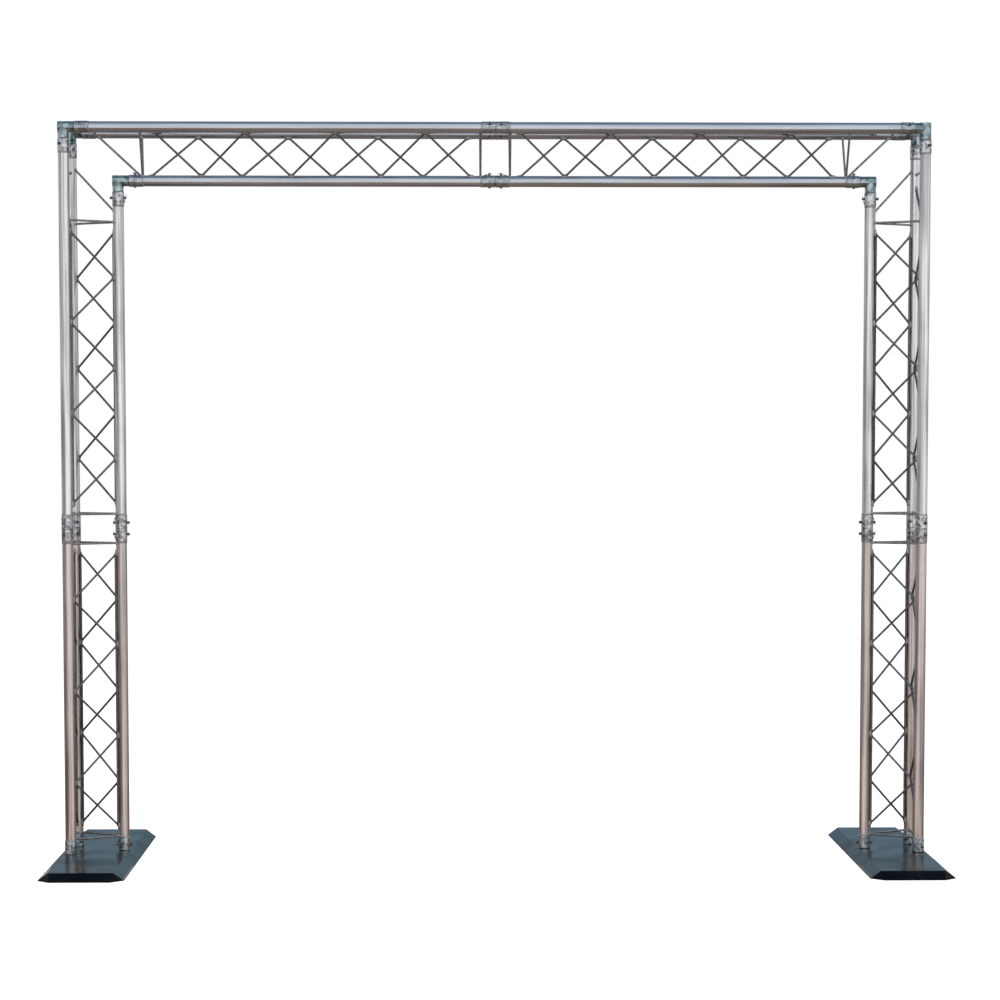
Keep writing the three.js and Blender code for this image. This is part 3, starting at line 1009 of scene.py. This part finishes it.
legs = [
    ("right", shift(halfSpan, 0, 0), ["inner", "front", "back"]),
    ("left", halfRound @ shift(halfSpan, 0, 0), ["inner", "back", "front"]),
]
for side, legPlace, names in legs:
    for index, (x, y) in enumerate(chordPlaces):
        name = names[index]
        spot = legPlace @ shift(x, y, middleLevel) @ turnZ(pinAngles[index])
        foot = legPlace @ shift(x, y, footLevel) @ turnZ(pinAngles[index])
        addPiece("leg_coupler", lambda: makeCoupler(pinShape["legHeadProud"]),
                 f"{side}_leg_{name}_coupler", f"{side}_leg_{name}_cones", spot)
        addPiece("foot", makeFootCoupler, f"{side}_foot_{name}_coupler", f"{side}_foot_{name}_cone",
                 foot)
    underLeg = legPlace @ shift(faceDepth / 2, 0, 0)
    addPiece("plate", makePlate, f"{side}_base_plate", f"{side}_folded_plate",
             underLeg)

for index, name in enumerate(["bottom", "front", "back"]):
    x, y = chordPlaces[index]
    spot = onBeam @ shift(x, y, 0) @ turnZ(pinAngles[index])
    addPiece("beam_coupler", lambda: makeCoupler(pinShape["beamHeadProud"]), f"beam_{name}_coupler",
             f"beam_{name}_cones", spot)
print("couplers and base plates placed")

corners = [
    ("left", shift(-halfSpan, 0, beamLevel), ["inner", "front", "back"], True),
    ("right", halfRound @ shift(-halfSpan, 0, beamLevel), ["inner", "back", "front"], False),
]
elbowPlaces = [
    (0, 0, 0),
    (-faceDepth, -halfSpacing, faceDepth),
    (-faceDepth, halfSpacing, faceDepth),
]
for side, cornerPlace, names, outerLevelRunsThrough in corners:
    for index, elbowPlace in enumerate(elbowPlaces):
        levelRuns = index == 0 or outerLevelRunsThrough
        angle = -pinAngles[index]
        addPiece(("elbow", angle, levelRuns), lambda: makeElbow(angle, levelRuns),
                 f"{side}_{names[index]}_elbow", f"{side}_{names[index]}_corner",
                 cornerPlace @ shift(*elbowPlace))
print("elbows placed")

for piece in masters.values():
    bpy.data.objects.remove(piece, do_unlink=True)


# Floor, backdrop, cards for the reflections, and lamps

studio = {
    "worldLevel": 0.75,
    "worldColour": (0.95, 0.97, 1.0),
    "floorColour": (0.82, 0.82, 0.83),
    "floorGlow": 0.55,
    "floorSize": 60.0,
}


# 1 for the rays that see the white background, and 0 for those that light the object
def seesBackground(graph):
    camera = graph.add("ShaderNodeLightPath", output="Is Camera Ray")
    glossy = graph.add("ShaderNodeLightPath", output="Is Glossy Ray")
    return camera + glossy + graph.add("ShaderNodeLightPath", output="Is Transmission Ray")


world = bpy.data.worlds.new("studio")
world.use_nodes = True
bpy.context.scene.world = world
sky = Graph(world.node_tree)
dim = sky.add(
    "ShaderNodeBackground",
    inputs={"Color": (*studio["worldColour"], 1), "Strength": studio["worldLevel"]},
)
white = sky.add("ShaderNodeBackground", inputs={"Color": (1, 1, 1, 1), "Strength": 1.0})
backdrop = sky.add("ShaderNodeMixShader", inputs={0: seesBackground(sky), 1: dim, 2: white})
sky.add("ShaderNodeOutputWorld", inputs={"Surface": backdrop})


def startPlane(name, size):
    clearSelection()
    bpy.ops.mesh.primitive_plane_add(size=1)
    plane = bpy.context.object
    plane.name = name
    bpy.ops.object.mode_set(mode="EDIT")
    bpy.ops.mesh.select_all(action="SELECT")
    bpy.ops.transform.resize(value=(size[0], size[1], 1), center_override=(0, 0, 0))
    endEdit()
    return plane


floor = startPlane("floor", (studio["floorSize"], studio["floorSize"]))
floorPaint, graph = newMaterial("floor_paint")
matt = graph.add("ShaderNodeBsdfDiffuse", inputs={"Color": (*studio["floorColour"], 1)})
glow = graph.add(
    "ShaderNodeEmission",
    inputs={"Color": (1, 1, 1, 1), "Strength": studio["floorGlow"]},
)
lit = graph.add("ShaderNodeAddShader", inputs={0: matt, 1: glow})
surface = graph.add("ShaderNodeMixShader", inputs={0: seesBackground(graph), 1: matt, 2: lit})
graph.add("ShaderNodeOutputMaterial", inputs={"Surface": surface})
wear(floor, floorPaint)

# The cards are seen by nothing but the metal and the paint. They are dim walls beside and behind
# the gate, a blue sky, brown ground, and the sheen of a floor that is seen flat before the gate.
cards = {
    "wallX": 4.5,
    "wallBack": 5.0,
    "wallHeight": 7.0,
    "leftFront": -8.0,
    "rightFront": -3.0,
    "sideFade": 5.0,             # from white at the front edge of a side wall
    "sideBands": [
        (0.0, (0.14, 0.115, 0.11)), (0.025, (0.2, 0.17, 0.165)), (0.07, (0.4, 0.36, 0.35)),
        (0.13, (0.48, 0.455, 0.445)), (0.22, (0.46, 0.455, 0.46)), (0.34, (0.56, 0.575, 0.61)),
        (0.46, (0.6, 0.64, 0.7)),
    ],
    "backBands": [
        (0.0, (0.21, 0.36, 0.46)), (0.085, (0.21, 0.36, 0.46)), (0.125, (0.36, 0.55, 0.69)),
        (0.24, (0.36, 0.36, 0.38)), (0.4, (0.42, 0.43, 0.46)), (0.46, (0.12, 0.2, 0.31)),
    ],
    "skyFront": -5.0,
    "skyBands": [
        (0.0, (1.0, 1.0, 1.0)), (0.18, (0.72, 0.79, 0.88)), (0.31, (0.42, 0.51, 0.62)),
        (0.45, (0.2, 0.29, 0.39)), (1.0, (0.2, 0.29, 0.39)),
    ],
    "groundFront": -6.0,
    "groundHeight": 0.002,
    "groundBands": [
        (0.0, (0.16, 0.12, 0.105)), (0.45, (0.22, 0.16, 0.135)), (0.62, (0.26, 0.19, 0.155)),
        (0.68, (0.25, 0.21, 0.19)), (1.0, (0.27, 0.26, 0.255)),
    ],
    "sheenWidth": 3.4,
    "sheenBack": -0.2,
    "sheenHeight": 0.004,
    "sheenBands": [
        (0.0, (0.34, 0.25, 0.2)), (0.34, (0.34, 0.25, 0.19)), (0.66, (0.72, 0.58, 0.5)),
        (0.88, (0.95, 0.88, 0.85)), (1.0, (1.0, 1.0, 1.0)),
    ],
}


# How far a place is along an axis, from 0 at the start to 1 at the end
def shareAlong(graph, axis, start, end):
    place = graph.add("ShaderNodeTexCoord", output="Object")
    along = graph.add("ShaderNodeSeparateXYZ", inputs={0: place}, output=axis)
    return (along - start) * (1 / (end - start))


# Colours at places from 0 to 1
def bands(graph, share, stops):
    return graph.add("ShaderNodeValToRGB", {"stops": stops}, {"Fac": share})


def cardPaint(name, makeColour):
    material, graph = newMaterial(name)
    glow = graph.add("ShaderNodeEmission", inputs={"Color": makeColour(graph), "Strength": 1.0})
    graph.add("ShaderNodeOutputMaterial", inputs={"Surface": glow})
    return material


def backWall(graph):
    return bands(graph, shareAlong(graph, "Z", 0, cards["wallHeight"]), cards["backBands"])


def sideWall(graph, front):
    wall = bands(graph, shareAlong(graph, "Z", 0, cards["wallHeight"]), cards["sideBands"])
    fade = shareAlong(graph, "Y", front, front + cards["sideFade"])
    return mixColour(graph, fade, (1, 1, 1), wall)


def skyOverhead(graph):
    share = shareAlong(graph, "Y", cards["skyFront"], cards["wallBack"])
    return bands(graph, share, cards["skyBands"])


def ground(graph):
    share = shareAlong(graph, "Y", cards["groundFront"], cards["wallBack"])
    return bands(graph, share, cards["groundBands"])


def groundSheen(graph):
    flatness = graph.add("ShaderNodeLayerWeight", output="Facing")
    return bands(graph, flatness, cards["sheenBands"])


def addCard(name, size, place, makeColour):
    card = startPlane(name, size)
    card.data.transform(place)
    wear(card, cardPaint(name + "_paint", makeColour))
    card.visible_camera = False
    card.visible_diffuse = False
    card.visible_transmission = False
    card.visible_volume_scatter = False
    card.visible_shadow = False


upright = Matrix.Rotation(math.pi / 2, 4, "X")
wallMiddle = cards["wallHeight"] / 2
wallWidth = cards["wallX"] * 2
backSize = (wallWidth, cards["wallHeight"])
addCard("back_card", backSize, shift(0, cards["wallBack"], wallMiddle) @ upright, backWall)
for name, x, front in (
    ("left_card", -cards["wallX"], cards["leftFront"]),
    ("right_card", cards["wallX"], cards["rightFront"]),
):
    spot = shift(x, (front + cards["wallBack"]) / 2, wallMiddle)
    sideSize = (cards["wallBack"] - front, cards["wallHeight"])
    sideTurn = turnZ(math.pi / 2) @ upright
    addCard(name, sideSize, spot @ sideTurn, lambda graph: sideWall(graph, front))
for name, width, front, back, height, makeColour in (
    ("sky_card", wallWidth, cards["skyFront"], cards["wallBack"], cards["wallHeight"],
     skyOverhead),
    ("ground_card", wallWidth, cards["groundFront"], cards["wallBack"], cards["groundHeight"],
     ground),
    ("sheen_card", cards["sheenWidth"], cards["groundFront"], cards["sheenBack"],
     cards["sheenHeight"], groundSheen),
):
    addCard(name, (width, back - front), shift(0, (front + back) / 2, height), makeColour)

lamps = {
    "key": {
        "place": (-3.5, -6.5, 5.5), "aim": (0, 0, 1.3), "size": 3.5, "power": 130,
        "colour": (1, 0.98, 0.95),
    },
    "fill": {
        "place": (5.0, -6.0, 3.0), "aim": (0, 0, 1.2), "size": 3.0, "power": 50,
        "colour": (0.93, 0.96, 1),
    },
    "top": {
        "place": (0, 1.5, 6.5), "aim": (0, 0, 1.5), "size": 4.0, "power": 80,
        "colour": (0.9, 0.95, 1),
    },
}
for name, setup in lamps.items():
    data = bpy.data.lights.new(name, "AREA")
    data.size = setup["size"]
    data.energy = setup["power"]
    data.color = setup["colour"]
    lamp = bpy.data.objects.new(name, data)
    bpy.context.collection.objects.link(lamp)
    lamp.visible_glossy = False
    lamp.location = setup["place"]
    aim = Vector(setup["aim"]) - Vector(setup["place"])
    lamp.rotation_euler = aim.to_track_quat("-Z", "Y").to_euler()
print("floor, cards and lamps placed")

# The photograph's view
view = {
    "lens": 103.99,
    "sensor": 36.0,
    "shiftY": 0.15,
    "place": (-0.1612, -9.296, 1.3537),
    "pitch": 0.0732,
    "yaw": 0.019,
}
cameraData = bpy.data.cameras.new("camera")
cameraData.lens = view["lens"]
cameraData.sensor_width = view["sensor"]
cameraData.shift_y = view["shiftY"]
camera = bpy.data.objects.new("camera", cameraData)
bpy.context.collection.objects.link(camera)
camera.location = view["place"]
ahead = Vector((
    math.sin(view["yaw"]) * math.cos(view["pitch"]),
    math.cos(view["yaw"]) * math.cos(view["pitch"]),
    -math.sin(view["pitch"]),
))
camera.rotation_euler = ahead.to_track_quat("-Z", "Y").to_euler()
bpy.context.scene.camera = camera
bpy.context.scene.view_settings.view_transform = "Standard"
